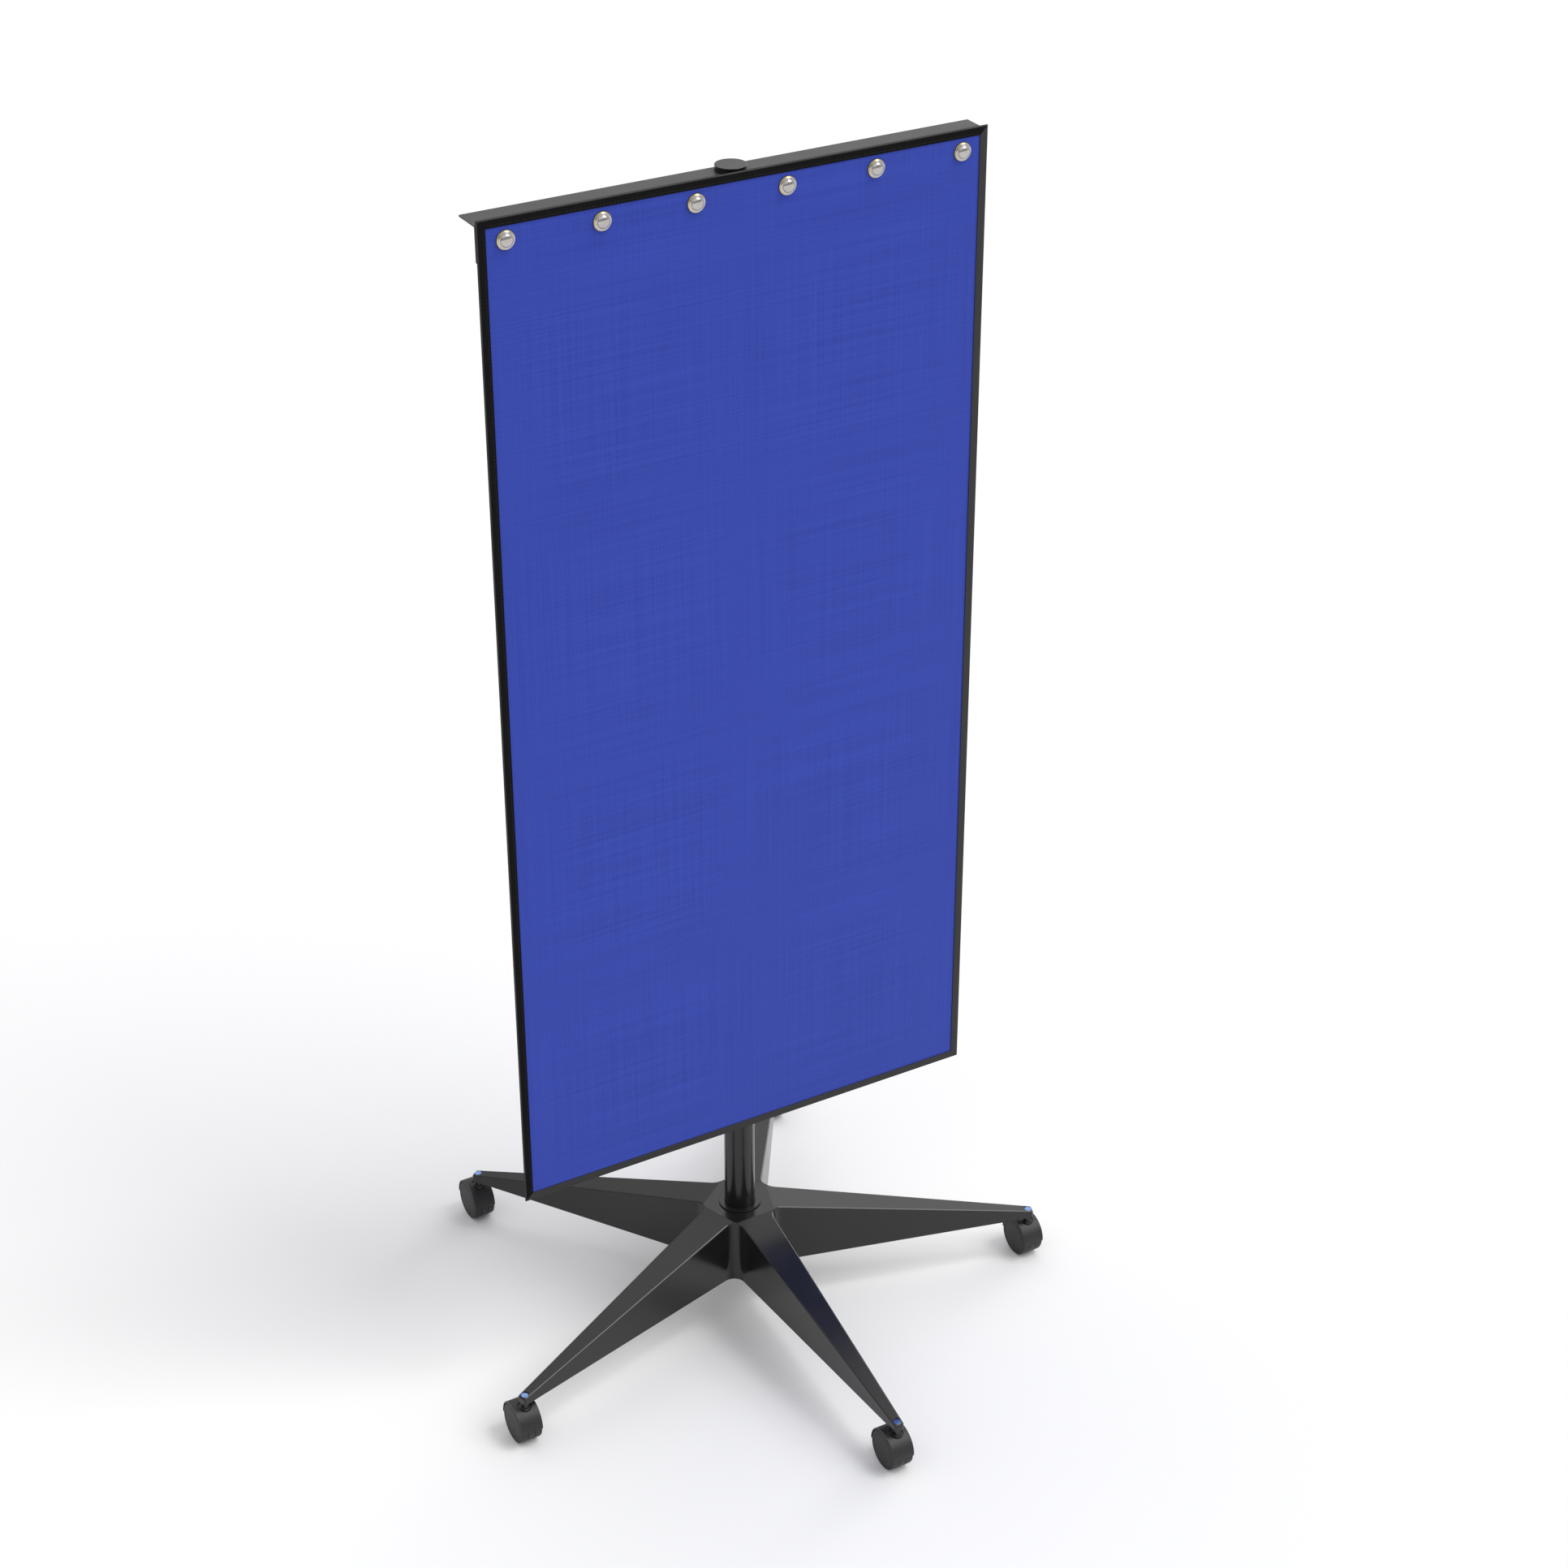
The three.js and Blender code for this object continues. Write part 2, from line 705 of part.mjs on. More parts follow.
// In a caster's own frame the origin is its stem's axis on the floor, and the axle
// runs along X behind it.
function makeCaster(number, holder) {
  const axleY = housing.trail;
  const toAxle = (geometry) => geometry.translate(0, axleY, axleZ);
  const put = (name, geometry, material) =>
    place(`caster_${name}_${number}`, geometry, material, holder);
  const halfWeb = housing.webWidth / 2;
  const hoodInner = wheel.radius / Math.cos(Math.PI / wheel.sides) + housing.hoodGap;

  // Hood: a half-round roof over both wheels that ends level with the axle.
  const roof = new THREE.Shape();
  roof.moveTo(hoodRadius, 0);
  roof.absarc(0, housing.hoodRise, hoodRadius, 0, Math.PI, false);
  roof.lineTo(-hoodRadius, 0);
  roof.lineTo(-hoodInner, 0);
  roof.absarc(0, 0, hoodInner, Math.PI, 0, true);
  const alongX = (shape, halfLength) => {
    const geometry = new THREE.ExtrudeGeometry(shape, {
      depth: 2 * halfLength,
      bevelEnabled: false,
      curveSegments: housing.hoodSteps,
    });
    geometry.translate(0, 0, -halfLength);
    return toAxle(geometry.rotateX(Math.PI / 2).rotateZ(Math.PI / 2));
  };
  const hood = alongX(roof, wheelOuterX);
  const web = toAxle(
    rod(wheel.radius - housing.webInset, -halfWeb, halfWeb, 2 * housing.hoodSteps, "x")
  );
  const webCrown = new THREE.Shape();
  webCrown.absarc(0, housing.hoodRise, hoodRadius - seatGap, 0, Math.PI, false);
  const crown = alongX(webCrown, halfWeb);
  const pocket = cut(
    rod(housing.pocketRadius, axleZ, axleZ + 2 * wheel.radius, stem.sides, "z").translate(
      0,
      housing.pocketSetback,
      0
    ),
    toAxle(rod(hoodInner + housing.pocketFloor, -wheelOuterX, wheelOuterX, wheel.sides, "x"))
  );
  const boss = rod(
    housing.bossRadius,
    axleZ + hoodInner - housing.pocketFloor,
    casterTopZ,
    stem.sides,
    "z"
  );
  const insideHood = toAxle(rod(hoodInner, -wheelOuterX, wheelOuterX, wheel.sides, "x"));
  const socket = rod(
    stem.pivotRadius + stem.clearance,
    axleZ + stem.pivotEndAboveAxle - stem.clearance,
    axleZ + 2 * wheel.radius,
    stem.sides,
    "z"
  );
  const axleBore = toAxle(
    rod(axle.radius + axle.clearance, -halfWeb - cutMargin, halfWeb + cutMargin, axle.sides, "x")
  );
  const shell = join(cut(join(hood, crown), pocket), cut(boss, insideHood), web);
  put("housing", cut(shell, socket, axleBore), casterNylon);

  // Stem: a thick upper end in the arm's hole, a shoulder, and a thin pivot in the socket.
  put(
    "stem",
    turned(
      [
        [0, axleZ + stem.pivotEndAboveAxle],
        [stem.pivotRadius, axleZ + stem.pivotEndAboveAxle],
        [stem.pivotRadius, casterTopZ + stem.clearance],
        [stem.radius, casterTopZ + stem.clearance],
        [stem.radius, tipTopZ - stem.tipRecess],
        [0, tipTopZ - stem.tipRecess],
      ],
      stem.sides,
      "z"
    ),
    blueZinc
  );

  const axleEndX = wheelOuterX - wheel.face - axle.endGap;
  put("axle", toAxle(rod(axle.radius, -axleEndX, axleEndX, axle.sides, "x")), zincSteel);

  // Wheel outline from the hub bore at its inner face round the tread to its outer face.
  const boreEndX = axleEndX + axle.endGap;
  const flatToCorner = 1 / Math.cos(Math.PI / wheel.sides);
  const treadRadius = wheel.radius * flatToCorner;
  const wheelOutline = [
    [0, boreEndX],
    [axle.radius + axle.clearance, boreEndX],
    [axle.radius + axle.clearance, wheelInnerX],
    [treadRadius, wheelInnerX],
    [treadRadius, wheelOuterX - wheel.edge],
    [treadRadius - wheel.edge, wheelOuterX],
    [0, wheelOuterX],
  ];
  put("wheel_right", toAxle(turned(wheelOutline, wheel.sides, "x")), treadRubber);
  put("wheel_left", toAxle(turned(wheelOutline, wheel.sides, "x").rotateZ(Math.PI)), treadRubber);
}

function makeCasters() {
  armAngles.forEach((angle, k) => {
    const holder = new THREE.Group();
    holder.position.set(
      base.stemRadius * Math.cos(angle),
      base.stemRadius * Math.sin(angle),
      0
    );
    atPost.add(holder);
    makeCaster(k + 1, holder);
  });
}

makeStarBase();
makePost();
makeRail();
makeCurtain();
makeStuds();
makeCasters();

export default parts;
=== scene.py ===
import math
import bmesh
import bpy
from mathutils import Matrix, Vector


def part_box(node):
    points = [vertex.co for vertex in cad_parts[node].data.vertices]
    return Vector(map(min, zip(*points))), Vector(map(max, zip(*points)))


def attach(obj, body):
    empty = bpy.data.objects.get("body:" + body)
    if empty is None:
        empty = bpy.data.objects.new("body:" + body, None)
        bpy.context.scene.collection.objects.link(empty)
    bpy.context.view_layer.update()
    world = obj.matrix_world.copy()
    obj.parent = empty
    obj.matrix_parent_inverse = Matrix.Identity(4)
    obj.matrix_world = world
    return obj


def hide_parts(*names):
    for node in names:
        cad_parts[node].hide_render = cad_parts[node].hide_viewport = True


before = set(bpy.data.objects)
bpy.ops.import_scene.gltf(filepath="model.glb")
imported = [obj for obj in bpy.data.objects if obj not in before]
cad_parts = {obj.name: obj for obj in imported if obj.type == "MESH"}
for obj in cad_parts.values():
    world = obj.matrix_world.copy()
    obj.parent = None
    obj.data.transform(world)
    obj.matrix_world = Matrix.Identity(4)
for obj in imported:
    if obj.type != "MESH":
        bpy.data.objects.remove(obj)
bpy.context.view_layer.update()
print("frame loaded:", len(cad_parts), "nodes")

mm = 0.001
scene = bpy.context.scene


def middle(node):
    low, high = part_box(node)
    return (low + high) / 2


postAxis = middle("post")  # only its x and y are used
casterNumbers = range(1, 6)
studNumbers = range(1, 7)
stemAxes = {k: middle(f"caster_stem_{k}") for k in casterNumbers}
stemReach = max((Vector((s.x - postAxis.x, s.y - postAxis.y, 0))).length for s in stemAxes.values())
axleBack = middle("caster_wheel_left_1").y - stemAxes[1].y  # an axle lies this far behind its stem
axleHeight = middle("caster_wheel_left_1").z

# camera and light -----------------------------------------------------------


def calc(tree, operation, a, b):
    node = tree.nodes.new("ShaderNodeMath")
    node.operation = operation
    for socket, value in zip(node.inputs, (a, b)):
        if isinstance(value, (int, float)):
            socket.default_value = value
        else:
            tree.links.new(value, socket)
    return node.outputs[0]


cameraSetup = {
    "lens": 72.05,
    "fromPost": (-1.5319, -2.7699, 2.5790),  # from the post's axis on the floor
    "pitch": 30.011,  # degrees below level
    "turn": 29.953,  # degrees to the right of straight on
}

studio = {
    "skyBase": 0.31,
    "skyPanels": [  # towards, where it starts and is full as a cosine, added strength
        ((0, 0, 1), 0.0, 0.95, 0.80),
        ((1, 0.2, 0.2), 0.55, 0.9, 0.4),
        ((0.5, 0.65, 0.55), 0.93, 0.985, 0.4),
        ((0.92, 0.36, 0.15), 0.965, 0.985, 6.0),
    ],
    "suns": [  # towards it, strength, and its angle in degrees, which softens the shadows
        ((0.46, -0.5, 0.74), 1.2, 37),
        ((1, -0.6, 2.4), 0.42, 12),
    ],
    "floorSize": 400,
    "floorColour": (0.735, 0.735, 0.74, 1),
}


def makeCamera():
    camera = bpy.data.objects.new("camera", bpy.data.cameras.new("camera"))
    scene.collection.objects.link(camera)
    camera.data.lens = cameraSetup["lens"]
    camera.data.sensor_width = 36
    camera.data.clip_end = 1000
    camera.location = Vector(cameraSetup["fromPost"]) + Vector((postAxis.x, postAxis.y, 0))
    camera.rotation_euler = (
        math.radians(90 - cameraSetup["pitch"]),
        0,
        -math.radians(cameraSetup["turn"]),
    )
    scene.camera = camera


def makeStudio():
    scene.view_settings.view_transform = "Standard"
    world = bpy.data.worlds.new("studio")
    world.use_nodes = True
    tree = world.node_tree
    towards = tree.nodes.new("ShaderNodeTexCoord").outputs["Generated"]
    light = studio["skyBase"]
    for panel, start, full, strength in studio["skyPanels"]:
        facing = tree.nodes.new("ShaderNodeVectorMath")
        facing.operation = "DOT_PRODUCT"
        facing.inputs[1].default_value = Vector(panel).normalized()
        tree.links.new(towards, facing.inputs[0])
        ramp = tree.nodes.new("ShaderNodeMapRange")
        ramp.interpolation_type = "SMOOTHSTEP"
        ramp.inputs["From Min"].default_value = start
        ramp.inputs["From Max"].default_value = full
        ramp.inputs["To Max"].default_value = strength
        tree.links.new(facing.outputs["Value"], ramp.inputs["Value"])
        light = calc(tree, "ADD", ramp.outputs["Result"], light)
    tree.links.new(light, tree.nodes["Background"].inputs["Strength"])
    tree.nodes["Background"].inputs["Color"].default_value = (1, 1, 1, 1)
    scene.world = world
    for towardsSun, strength, angle in studio["suns"]:
        sun = bpy.data.objects.new("sun", bpy.data.lights.new("sun", "SUN"))
        scene.collection.objects.link(sun)
        sun.data.energy = strength
        sun.data.angle = math.radians(angle)
        sun.rotation_euler = Vector(towardsSun).to_track_quat("Z", "Y").to_euler()

    bm = bmesh.new()
    bmesh.ops.create_grid(bm, x_segments=1, y_segments=1, size=studio["floorSize"] / 2)
    mesh = bpy.data.meshes.new("floor")
    bm.to_mesh(mesh)
    bm.free()
    floor = bpy.data.objects.new("floor", mesh)
    scene.collection.objects.link(floor)
    paint = bpy.data.materials.new("paleFloor")
    paint.use_nodes = True
    paint.node_tree.nodes["Principled BSDF"].inputs["Base Color"].default_value = studio["floorColour"]
    paint.node_tree.nodes["Principled BSDF"].inputs["Roughness"].default_value = 0.9
    paint.node_tree.nodes["Principled BSDF"].inputs["Specular IOR Level"].default_value = 0.1
    mesh.materials.append(paint)


makeCamera()
makeStudio()
print("camera and studio set")

# materials --------------------------------------------------------------------


def startFinish(name, roughness, metallic=0.0):
    material = bpy.data.materials.new(name)
    material.use_nodes = True
    tree = material.node_tree
    shader = tree.nodes["Principled BSDF"]
    shader.inputs["Roughness"].default_value = roughness
    shader.inputs["Metallic"].default_value = metallic
    place = tree.nodes.new("ShaderNodeTexCoord").outputs["Object"]
    return material, tree, shader, place


def noise(tree, place, scale, detail=4.0, stretch=(1, 1, 1)):
    mapping = tree.nodes.new("ShaderNodeMapping")
    mapping.inputs["Scale"].default_value = stretch
    grain = tree.nodes.new("ShaderNodeTexNoise")
    grain.inputs["Scale"].default_value = scale
    grain.inputs["Detail"].default_value = detail
    tree.links.new(place, mapping.inputs["Vector"])
    tree.links.new(mapping.outputs["Vector"], grain.inputs["Vector"])
    return grain.outputs["Fac"]


def bands(tree, place, direction, pitch, distortion=0.0):
    wave = tree.nodes.new("ShaderNodeTexWave")
    wave.bands_direction = direction
    wave.inputs["Scale"].default_value = 2 * math.pi / pitch / 20  # a wave node turns once per pi / 10
    wave.inputs["Distortion"].default_value = distortion
    wave.inputs["Detail"].default_value = 1
    tree.links.new(place, wave.inputs["Vector"])
    return wave.outputs["Fac"]


def spread(tree, value, low, high):
    node = tree.nodes.new("ShaderNodeMapRange")
    node.inputs["From Min"].default_value = low
    node.inputs["From Max"].default_value = high
    tree.links.new(value, node.inputs["Value"])
    return node.outputs["Result"]


def tones(tree, shader, value, dark, light):
    mix = tree.nodes.new("ShaderNodeMix")
    mix.data_type = "RGBA"
    mix.inputs["A"].default_value = (*dark, 1)
    mix.inputs["B"].default_value = (*light, 1)
    tree.links.new(value, mix.inputs["Factor"])
    tree.links.new(mix.outputs["Result"], shader.inputs["Base Color"])


def roughen(tree, shader, value, smooth, rough):
    node = tree.nodes.new("ShaderNodeMapRange")
    node.inputs["To Min"].default_value = smooth
    node.inputs["To Max"].default_value = rough
    tree.links.new(value, node.inputs["Value"])
    tree.links.new(node.outputs["Result"], shader.inputs["Roughness"])


def bump(tree, shader, height, distance, strength=1.0):
    node = tree.nodes.new("ShaderNodeBump")
    node.inputs["Distance"].default_value = distance
    node.inputs["Strength"].default_value = strength
    tree.links.new(height, node.inputs["Height"])
    tree.links.new(node.outputs["Normal"], shader.inputs["Normal"])


def coatedMetal(name, dark, light, roughness, grainSize, grainDepth):
    material, tree, shader, place = startFinish(name, roughness)
    patches = noise(tree, place, 9, 3)
    tones(tree, shader, spread(tree, patches, 0.3, 0.7), dark, light)
    roughen(tree, shader, noise(tree, place, 35, 2), roughness - 0.05, roughness + 0.05)
    bump(tree, shader, noise(tree, place, 1 / grainSize, 2), grainDepth)
    return material


def bareMetal(name, dark, light, roughness, lines):
    material, tree, shader, place = startFinish(name, roughness, 1.0)
    brushing = noise(tree, place, 900, 2, lines)
    tones(tree, shader, noise(tree, place, 120, 3), dark, light)
    roughen(tree, shader, brushing, roughness * 0.8, roughness * 1.25)
    bump(tree, shader, brushing, 0.01 * mm)
    return material


def mouldedPlastic(name, dark, light, roughness, grainDepth):
    material, tree, shader, place = startFinish(name, roughness)
    tones(tree, shader, noise(tree, place, 60, 4), dark, light)
    grain = noise(tree, place, 1400, 2)
    roughen(tree, shader, noise(tree, place, 160, 3), roughness - 0.07, roughness + 0.07)
    bump(tree, shader, grain, grainDepth)
    return material


curtainCloth = {
    "dark": (0.015, 0.036, 0.300),
    "light": (0.027, 0.056, 0.400),
    "threadPitch": 0.9 * mm,
    "threadDepth": 0.03 * mm,
    "slubLength": 3.5,  # noise per metre along a thread
    "slubWidth": 430,  # noise per metre across the threads
}


def wovenCloth():
    cloth = curtainCloth
    material, tree, shader, place = startFinish("blueCloth", 0.82)
    shader.inputs["Specular IOR Level"].default_value = 0.3
    shader.inputs["Sheen Weight"].default_value = 0.12
    shader.inputs["Sheen Roughness"].default_value = 0.5
    along, across = cloth["slubLength"], cloth["slubWidth"]
    weft = noise(tree, place, 1, 3, (along, 1, across))
    warp = noise(tree, place, 1, 3, (across, 1, along))
    cloud = noise(tree, place, 1, 2, (9, 1, 22))
    slubs = calc(tree, "ADD", calc(tree, "MULTIPLY", weft, 0.50), calc(tree, "MULTIPLY", warp, 0.40))
    slubs = calc(tree, "ADD", slubs, calc(tree, "MULTIPLY", cloud, 0.10))
    weftThreads = bands(tree, place, "Z", cloth["threadPitch"])
    warpThreads = bands(tree, place, "X", cloth["threadPitch"])
    weave = calc(tree, "MAXIMUM", weftThreads, warpThreads)
    shade = calc(tree, "ADD", slubs, calc(tree, "MULTIPLY", weave, 0.10))
    tones(tree, shader, spread(tree, shade, 0.38, 0.72), cloth["dark"], cloth["light"])
    height = calc(tree, "ADD", calc(tree, "MULTIPLY", slubs, 1.5), weave)
    bump(tree, shader, height, cloth["threadDepth"])
    return material


def tapeCloth():
    material, tree, shader, place = startFinish("blackTape", 0.8)
    shader.inputs["Specular IOR Level"].default_value = 0.03
    ribs = calc(tree, "MULTIPLY", bands(tree, place, "X", 1.1 * mm), bands(tree, place, "Z", 1.1 * mm))
    tones(tree, shader, noise(tree, place, 300, 3), (0.0055, 0.0055, 0.0057), (0.0105, 0.0105, 0.0109))
    bump(tree, shader, ribs, 0.015 * mm)
    return material


def sewingThread():
    material, tree, shader, place = startFinish("blackThread", 0.6)
    tones(tree, shader, noise(tree, place, 2500, 2), (0.008, 0.008, 0.0085), (0.017, 0.017, 0.018))
    bump(tree, shader, noise(tree, place, 4000, 2), 0.03 * mm)
    return material


finishes = {
    "cast_coat": coatedMetal("castCoat", (0.0055, 0.0055, 0.0058), (0.009, 0.009, 0.0094), 0.2, 1.4 * mm, 0.010 * mm),
    "black_coat": coatedMetal("postCoat", (0.006, 0.006, 0.0065), (0.010, 0.010, 0.0105), 0.22, 1.1 * mm, 0.006 * mm),
    "rail_coat": coatedMetal("railCoat", (0.030, 0.030, 0.031), (0.039, 0.039, 0.040), 0.42, 1.0 * mm, 0.012 * mm),
    "blue_cloth": wovenCloth(),
    "black_tape": tapeCloth(),
    "brass": bareMetal("eyeletBrass", (0.72, 0.53, 0.13), (0.88, 0.70, 0.24), 0.24, (1, 1, 1)),
    "polished_steel": bareMetal("polishedSteel", (0.42, 0.40, 0.38), (0.56, 0.535, 0.515), 0.17, (1, 1, 1)),
    "zinc_steel": bareMetal("zincPlate", (0.42, 0.43, 0.44), (0.60, 0.61, 0.61), 0.36, (1, 1, 0.2)),
    "blue_zinc": bareMetal("blueZinc", (0.16, 0.27, 0.55), (0.24, 0.37, 0.66), 0.28, (1, 1, 1)),
    "caster_nylon": mouldedPlastic("casterNylon", (0.008, 0.008, 0.0084), (0.013, 0.013, 0.0135), 0.5, 0.02 * mm),
    "tread_rubber": mouldedPlastic("wheelRubber", (0.007, 0.007, 0.0074), (0.012, 0.012, 0.0125), 0.56, 0.03 * mm),
}
threadFinish = sewingThread()
print("finishes mixed:", len(finishes) + 1)

# shaping tools ------------------------------------------------------------------


def bevelSharp(bm, width, segments=3, overAngle=28, profile=0.5, clamped=True):
    edges = [
        e
        for e in bm.edges
        if len(e.link_faces) == 2 and e.calc_face_angle() > math.radians(overAngle)
    ]
    bmesh.ops.bevel(
        bm,
        geom=edges,
        offset=width,
        offset_type="OFFSET",
        segments=segments,
        profile=profile,
        affect="EDGES",
        clamp_overlap=clamped,
        material=-1,
    )


def turnedShape(outline, steps, bevelWidth=0.0, bevelSteps=2, bevelOver=28):
    # outline: (radius, height) pairs in mm, either closed or with both ends on the axis
    bm = bmesh.new()
    verts = [bm.verts.new((radius * mm, 0, height * mm)) for radius, height in outline]
    edges = [bm.edges.new(pair) for pair in zip(verts, verts[1:])]
    if outline[0][0] > 0:
        edges.append(bm.edges.new((verts[-1], verts[0])))
    bmesh.ops.spin(
        bm,
        geom=verts + edges,
        cent=(0, 0, 0),
        axis=(0, 0, 1),
        dvec=(0, 0, 0),
        angle=2 * math.pi,
        steps=steps,
        use_merge=True,
    )
    bmesh.ops.remove_doubles(bm, verts=bm.verts, dist=0.001 * mm)
    bmesh.ops.recalc_face_normals(bm, faces=bm.faces)
    if bevelWidth:
        bevelSharp(bm, bevelWidth * mm, bevelSteps, bevelOver)
    return bm


def moveShape(bm, turn=None, to=None):
    if turn is not None:
        bmesh.ops.rotate(bm, verts=bm.verts, cent=(0, 0, 0), matrix=turn)
    if to is not None:
        bmesh.ops.translate(bm, verts=bm.verts, vec=to)
    return bm


alongX = Matrix.Rotation(math.radians(90), 3, "Y")
towardsFront = Matrix.Rotation(math.radians(90), 3, "X")


def joinShapes(*shapes):
    whole = bmesh.new()
    for shape in shapes:
        part = bpy.data.meshes.new("part")
        shape.to_mesh(part)
        whole.from_mesh(part)
        bpy.data.meshes.remove(part)
        shape.free()
    return whole


def finishPiece(name, bm, slotName, body, nodes, smoothUnder=32):
    mesh = bpy.data.meshes.new(name)
    bm.to_mesh(mesh)
    bm.free()
    mesh.shade_smooth()
    mesh.set_sharp_from_angle(angle=math.radians(smoothUnder))
    piece = bpy.data.objects.new(name, mesh)
    scene.collection.objects.link(piece)
    mesh.materials.append(finishes[slotName])
    flats = piece.modifiers.new("flats", "WEIGHTED_NORMAL")  # wide faces stay flat beside a rounded edge
    flats.keep_sharp = True
    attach(piece, body)
    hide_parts(*nodes)
    return piece


def carved(bm, cutter):
    # what is left of one closed shape after another is taken from it
    shapes = []
    for name, shape in (("blank", bm), ("cutter", cutter)):
        mesh = bpy.data.meshes.new(name)
        shape.to_mesh(mesh)
        shape.free()
        shapes.append(bpy.data.objects.new(name, mesh))
        scene.collection.objects.link(shapes[-1])
    blank, tool = shapes
    modifier = blank.modifiers.new("carve", "BOOLEAN")
    modifier.operation = "DIFFERENCE"
    modifier.solver = "EXACT"
    modifier.object = tool
    bpy.context.view_layer.update()
    done = bpy.data.meshes.new_from_object(blank.evaluated_get(bpy.context.evaluated_depsgraph_get()))
    result = bmesh.new()
    result.from_mesh(done)
    for shape in shapes:
        old = shape.data
        bpy.data.objects.remove(shape)
        bpy.data.meshes.remove(old)
    bpy.data.meshes.remove(done)
    return result


# star base ------------------------------------------------------------------------

starBase = {
    "arms": 5,
    "firstArm": -90,  # degrees
    "tipOverhang": 6,
    "tipRound": 2.4,
    "hubStation": 40,
    "hubHalf": 24.8,  # half widths at the lower edge
    "tipHalf": 6.2,
    "notchRadius": 15,
    "notchSteps": 16,
    "notchDraft": 3.6,  # how far the notches lean in from the lower edge to the platform
    "platformApothem": 39,
    "tipDepth": 12,  # at the stem's axis
    "wall": 3.6,
    "roof": 4.5,
    "pocketStop": 50,
    "crease": 1.4,
    "creaseProfile": 0.32,  # 0.25 would be a flat chamfer, 0.5 a round
    "bossWall": 6,
    "bossLift": 11,
}

lowerEdge, platformTop = (corner.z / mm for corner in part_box("star_base"))
stemStation = stemReach / mm
postRadius = (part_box("post")[1].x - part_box("post")[0].x) / 2 / mm / math.cos(math.radians(7.5))
armAngles = [math.radians(starBase["firstArm"] + 360 / starBase["arms"] * k) for k in range(starBase["arms"])]
armSlope = (platformTop - lowerEdge - starBase["tipDepth"]) / (stemStation - starBase["platformApothem"])


def starShape(inset, lowering, reach, floor):
    # the star's outer body, or with an inset the hollow that is taken from under it
    s = starBase
    halfPitch = math.pi / s["arms"]
    tipStation = stemStation + s["tipOverhang"]
    taper = (s["hubHalf"] - s["tipHalf"]) / (tipStation - s["hubStation"])
    hubHalf, tipHalf = s["hubHalf"] - inset, s["hubHalf"] - inset - taper * (reach - s["hubStation"])
    corner = (hubHalf + taper * s["hubStation"]) / (math.tan(halfPitch) + taper) / math.cos(halfPitch)
    wallAngle = halfPitch + math.atan(taper)
    bm = bmesh.new()
    plan, notches = [], []
    for angle in armAngles:
        along, side = Vector((math.cos(angle), math.sin(angle), 0)), Vector((-math.sin(angle), math.cos(angle), 0))
        plan.append(bm.verts.new((along * reach - side * tipHalf + Vector((0, 0, floor))) * mm))
        plan.append(bm.verts.new((along * reach + side * tipHalf + Vector((0, 0, floor))) * mm))
        notch = Vector((math.cos(angle + halfPitch), math.sin(angle + halfPitch), 0)) * corner
        plan.append(bm.verts.new((notch + Vector((0, 0, floor))) * mm))
        notches.append(plan[-1])
    tips = [v for v in plan if v not in notches]
    face = bm.faces.new(plan)
    face.normal_update()
    if face.normal.z > 0:
        face.normal_flip()
    rounding = (s["notchRadius"] + inset) / math.tan(wallAngle) * mm
    for verts, size, steps in ((notches, rounding, s["notchSteps"]), (tips, s["tipRound"] * mm, 5)):
        bmesh.ops.bevel(
            bm,
            geom=verts,
            offset=size,
            offset_type="OFFSET",
            segments=steps,
            profile=0.5,
            affect="VERTICES",
            material=-1,
        )
    raised = bmesh.ops.extrude_face_region(bm, geom=list(bm.faces))["geom"]
    upper = [v for v in raised if isinstance(v, bmesh.types.BMVert)]
    bmesh.ops.translate(bm, verts=upper, vec=(0, 0, (platformTop - floor) * mm))
    for vert in upper:  # the deep walls at the hub lean in towards the top
        if vert.co.xy.length < 0.3 * stemReach:
            turn = math.atan2(vert.co.y, vert.co.x) - armAngles[0] - halfPitch
            nearest = armAngles[0] + halfPitch + round(turn / (2 * halfPitch)) * 2 * halfPitch
            vert.co -= Vector((math.cos(nearest), math.sin(nearest), 0)) * s["notchDraft"] * mm
    bmesh.ops.recalc_face_normals(bm, faces=bm.faces)
    level = platformTop - lowering
    cuts = [(Vector((0, 0, level)), Vector((0, 0, 1)))] if lowering else []
    for angle in armAngles:
        along = Vector((math.cos(angle), math.sin(angle), 0))
        start = along * s["platformApothem"] + Vector((0, 0, level))
        cuts.append((start, along * armSlope + Vector((0, 0, 1))))
    for point, normal in cuts:
        made = bmesh.ops.bisect_plane(
            bm,
            geom=list(bm.verts) + list(bm.edges) + list(bm.faces),
            dist=0.0001 * mm,
            plane_co=point * mm,
            plane_no=normal,
            clear_outer=True,
        )["geom_cut"]
        bmesh.ops.edgeloop_fill(bm, edges=[e for e in made if isinstance(e, bmesh.types.BMEdge)])
    bmesh.ops.dissolve_limit(bm, angle_limit=math.radians(0.5), verts=bm.verts, edges=bm.edges)
    bmesh.ops.recalc_face_normals(bm, faces=bm.faces)
    return bm


